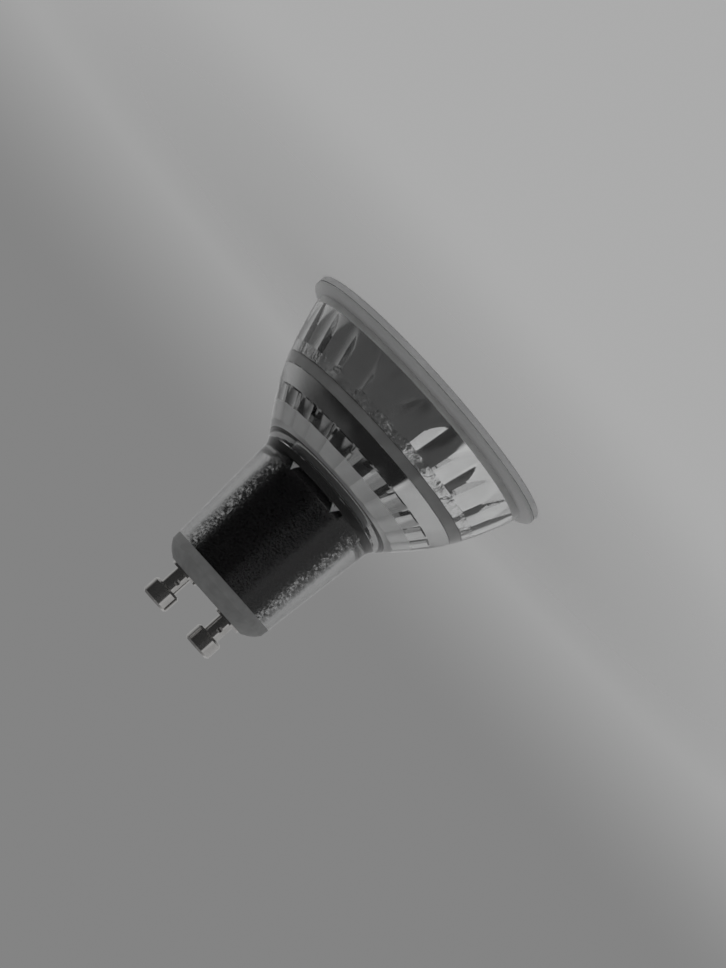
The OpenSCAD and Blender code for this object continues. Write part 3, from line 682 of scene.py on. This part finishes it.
def dress_solids():
    """Finishes of the pieces that keep their own solids."""
    finishes = {
        "nickel": surface("nickel", (0.62, 0.61, 0.6), 0.16, 1.0, speckle=0.08, speckle_scale=700.0, bump=0.25,
                          bump_scale=1500.0, bump_depth=0.00001),
        "sleeve_black": surface("sleeve_plastic", (0.012, 0.012, 0.013), 0.22, speckle=0.25, bump=0.4,
                                bump_scale=1400.0),
        "silicone": surface("silicone", (0.75, 0.76, 0.76), 0.5, bump=0.2),
        "board_white": board_finish(),
        "dam_white": surface("dam_silicone", (0.88, 0.88, 0.86), 0.45, speckle=0.02, bump=0.1),
        "phosphor": surface("phosphor_gel", (0.86, 0.66, 0.12), 0.3, speckle=0.05, speckle_scale=2500.0,
                            bump=0.1),
        "solder": surface("tin_solder", (0.7, 0.7, 0.7), 0.22, 1.0, bump=0.3),
        "wire_red": surface("red_insulation", (0.5, 0.02, 0.015), 0.35, bump=0.1),
        "wire_black": surface("black_insulation", (0.02, 0.02, 0.02), 0.35, bump=0.1),
        "wire_brown": surface("brown_insulation", (0.16, 0.06, 0.03), 0.35, bump=0.1),
        "wire_blue": surface("blue_insulation", (0.02, 0.08, 0.35), 0.35, bump=0.1),
        "board_green": surface("green_mask", (0.02, 0.16, 0.06), 0.3, speckle=0.1, speckle_scale=900.0,
                               bump=0.1),
        "can_sleeve": surface("can_film", (0.02, 0.03, 0.09), 0.25, bump=0.1),
        "film_case": surface("dipped_case", (0.5, 0.1, 0.02), 0.3, bump=0.2),
        "ferrite": surface("ferrite", (0.05, 0.05, 0.055), 0.7, speckle=0.2, bump=0.5),
        "copper_wire": surface("enamelled_copper", (0.62, 0.24, 0.08), 0.25, 1.0, bump=0.2),
        "chip_black": surface("chip_resin", (0.03, 0.03, 0.033), 0.55, speckle=0.15, bump=0.4),
        "resistor_coat": surface("resistor_lacquer", (0.3, 0.38, 0.28), 0.4, bump=0.2),
        "chip_ceramic": surface("chip_ceramic", (0.45, 0.34, 0.22), 0.5, bump=0.2),
    }
    for part in frame["record"]["subparts"]:
        if part["material_slot"] in finishes:
            dress(part["node"], finishes[part["material_slot"]])


def past(tree, value, slope):
    """How far a span moves: max(value - start, 0) times the slope's share."""
    start, share = slope
    return maths(tree, "MULTIPLY", maths(tree, "MAXIMUM", maths(tree, "SUBTRACT", value, start), 0.0), share)


def before(tree, value, slope):
    """How far a span moves: max(start - value, 0) times the slope's share."""
    start, share = slope
    return maths(tree, "MULTIPLY", maths(tree, "MAXIMUM", maths(tree, "SUBTRACT", start, value), 0.0), share)


def room_light(tree, azimuth, height):
    """Strength of the dim room on the camera's side: deeper higher up, lit again towards the top, lighter low
    down, and dark just above level, with the bright far side of it round to the left."""
    deep = maths(tree, "ADD", height, before(tree, azimuth, DEEP_LEFT_SLOPE))
    deep = maths(tree, "ADD", deep, past(tree, azimuth, DEEP_RIGHT_SLOPE))
    room = fade(tree, deep, DEEP_HEIGHTS, ROOM, ROOM_DEEP)
    low = fade(tree, azimuth, LOW_AZIMUTHS, *ROOM_LOW)
    room = fade(tree, height, LOW_HEIGHTS, low, room)
    far = maths(tree, "MULTIPLY", rise(tree, height, *FAR_LEFT_TURN_HEIGHTS), FAR_LEFT_TURN)
    far = maths(tree, "ADD", azimuth, far)
    room = fade(tree, far, FAR_LEFT_AZIMUTHS, FAR_SIDE, room)
    high = maths(tree, "ADD", height, before(tree, azimuth, TOP_LEFT_SLOPE))
    drop = maths(tree, "MULTIPLY", rise(tree, azimuth, *TOP_RIGHT_AZIMUTHS), TOP_RIGHT_DROP)
    high = maths(tree, "ADD", high, drop)
    top = fade(tree, azimuth, TOP_AZIMUTHS, *ROOM_TOP)
    room = fade(tree, high, TOP_HEIGHTS, room, top)
    flat = fade(tree, azimuth, FLAT_LEFT_AZIMUTHS, FAR_SIDE, ROOM_FLAT)
    flat = fade(tree, azimuth, FLAT_RIGHT_AZIMUTHS, flat, SIDE_LIGHT)
    return fade(tree, height, FLAT_HEIGHTS, flat, room)


def side_light(tree, azimuth, height):
    """Strength of the bright side at the right: dimmer in two steps higher up, with a stronger strip along its
    near edge."""
    side = fade(tree, height, SIDE_HEIGHTS, PALE, SIDE_LIGHT)
    for span, strength in zip(SIDE_HIGH_HEIGHTS, SIDE_HIGH):
        side = fade(tree, height, span, side, strength)
    strip = fade(tree, height, STRIP_HEIGHTS, *STRIP_GAIN)
    return maths(tree, "MULTIPLY", side, fade(tree, azimuth, STRIP_AZIMUTHS, strip, 1.0))


def studio_light():
    """Pale surround, which turns darker above level where it is seen directly, as a painted shadow. The polished
    pieces
    mirror soft patches: a dim room on the camera's side and a bright side that starts sharply at the right."""
    world = bpy.data.worlds.new("studio")
    bpy.context.scene.world = world
    world.use_nodes = True
    tree = world.node_tree
    tree.nodes.clear()
    output = node(tree, "ShaderNodeOutputWorld")
    background = node(tree, "ShaderNodeBackground", Color=(1, 1, 1, 1))
    tree.links.new(background.outputs[0], output.inputs["Surface"])
    place = node(tree, "ShaderNodeTexCoord")
    turn = node(tree, "ShaderNodeVectorRotate")
    turn.rotation_type = "Z_AXIS"
    turn.inputs["Angle"].default_value = math.pi / 2 - CAMERA_AZIMUTH
    tree.links.new(place.outputs["Generated"], turn.inputs["Vector"])
    axes = node(tree, "ShaderNodeSeparateXYZ")
    tree.links.new(turn.outputs[0], axes.inputs[0])
    toward, aside, up = axes.outputs
    degrees = 180 / math.pi
    azimuth = maths(tree, "ARCTAN2", maths(tree, "MULTIPLY", aside, -1.0), toward)
    azimuth = maths(tree, "MULTIPLY", azimuth, degrees)
    height = maths(tree, "MULTIPLY", maths(tree, "ARCSINE", up), degrees)
    edge = maths(tree, "SUBTRACT", azimuth, past(tree, height, SIDE_SLOPE))
    room = room_light(tree, azimuth, height)
    mirrored = fade(tree, edge, SIDE_AZIMUTHS, room, side_light(tree, azimuth, height))
    mirrored = fade(tree, azimuth, FAR_RIGHT_AZIMUTHS, mirrored, FAR_SIDE)
    mirrored = fade(tree, height, FLOOR_HEIGHTS, PALE, mirrored)
    path = node(tree, "ShaderNodeLightPath")
    # What is seen directly: pale below level and darker above it, a painted shadow
    seen = fade(tree, height, SURROUND_SHADE_HEIGHTS, PALE, SURROUND_SHADE)
    scattered = maths(tree, "GREATER_THAN", path.outputs["Diffuse Depth"], 0.5)
    seen = mix_values(tree, scattered, seen, PALE)
    reflected = maths(tree, "GREATER_THAN", path.outputs["Glossy Depth"], 0.5)
    strength = mix_values(tree, reflected, seen, mirrored)
    tree.links.new(strength, background.inputs["Strength"])


def pale_floor():
    """Floor under the lamp: a sheet of paper that fades into the surround of the same plain tone."""
    angles = 2 * math.pi * np.arange(PAPER_COLUMNS) / PAPER_COLUMNS
    radii = np.repeat(np.array(PAPER_RADII)[:, None], PAPER_COLUMNS, axis=1)
    points = lathe(radii, np.zeros((len(PAPER_RADII), 1)), angles)
    faces = ring_quads(len(PAPER_RADII), PAPER_COLUMNS).tolist() + [list(range(PAPER_COLUMNS))[::-1]]
    paper = bpy.data.materials.new("paper_floor")
    paper.use_nodes = True
    tree = paper.node_tree
    tree.nodes.clear()
    output = node(tree, "ShaderNodeOutputMaterial")
    matte = node(tree, "ShaderNodeBsdfDiffuse", Color=(0.8, 0.8, 0.8, 1), Roughness=0.6)
    clear = node(tree, "ShaderNodeBsdfTransparent", Color=(1, 1, 1, 1))
    mix = node(tree, "ShaderNodeMixShader")
    place = node(tree, "ShaderNodeTexCoord")
    length = node(tree, "ShaderNodeVectorMath")
    length.operation = "LENGTH"
    tree.links.new(place.outputs["Object"], length.inputs[0])
    share = fade(tree, length.outputs["Value"], PAPER_FADE, *PAPER_CLEAR)
    tree.links.new(share, mix.inputs["Fac"])
    tree.links.new(matte.outputs[0], mix.inputs[1])
    tree.links.new(clear.outputs[0], mix.inputs[2])
    tree.links.new(mix.outputs[0], output.inputs["Surface"])
    floor = mesh_piece("paper_floor", points, faces, [paper])


def photo_camera():
    """Camera of the photograph: level with the end of the neck, aimed at the bowl, and rolled as the photograph
    lies."""
    toward = Vector((math.sin(CAMERA_AZIMUTH), -math.cos(CAMERA_AZIMUTH), 0))
    right = Vector((-math.cos(CAMERA_AZIMUTH), -math.sin(CAMERA_AZIMUTH), 0))
    place = toward * CAMERA_DISTANCE + Vector((0, 0, CAMERA_Z))
    aim = right * AIM_ASIDE + Vector((0, 0, AIM_Z))
    back = (place - aim).normalized()
    lean = right * math.cos(CAMERA_ROLL) - Vector((0, 0, math.sin(CAMERA_ROLL)))
    x_axis = (lean - back * lean.dot(back)).normalized()
    y_axis = back.cross(x_axis)
    data = bpy.data.cameras.new("photo_camera")
    data.sensor_width = SENSOR
    data.lens = FOCAL_PX * SENSOR / max(PHOTO_W, PHOTO_H)
    data.clip_start = CLIP_START
    camera = bpy.data.objects.new("photo_camera", data)
    turn = Matrix((x_axis, y_axis, back)).transposed().to_4x4()
    camera.matrix_world = Matrix.Translation(place) @ turn
    bpy.context.scene.collection.objects.link(camera)
    bpy.context.scene.camera = camera


bpy.context.scene.view_settings.view_transform = "Standard"
photo_camera()
studio_light()
pale_floor()
dress_solids()

body = glass_body()
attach(body, "root")
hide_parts("glass_housing")

lens = lens_plate()
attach(lens, "root")
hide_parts("front_lens")
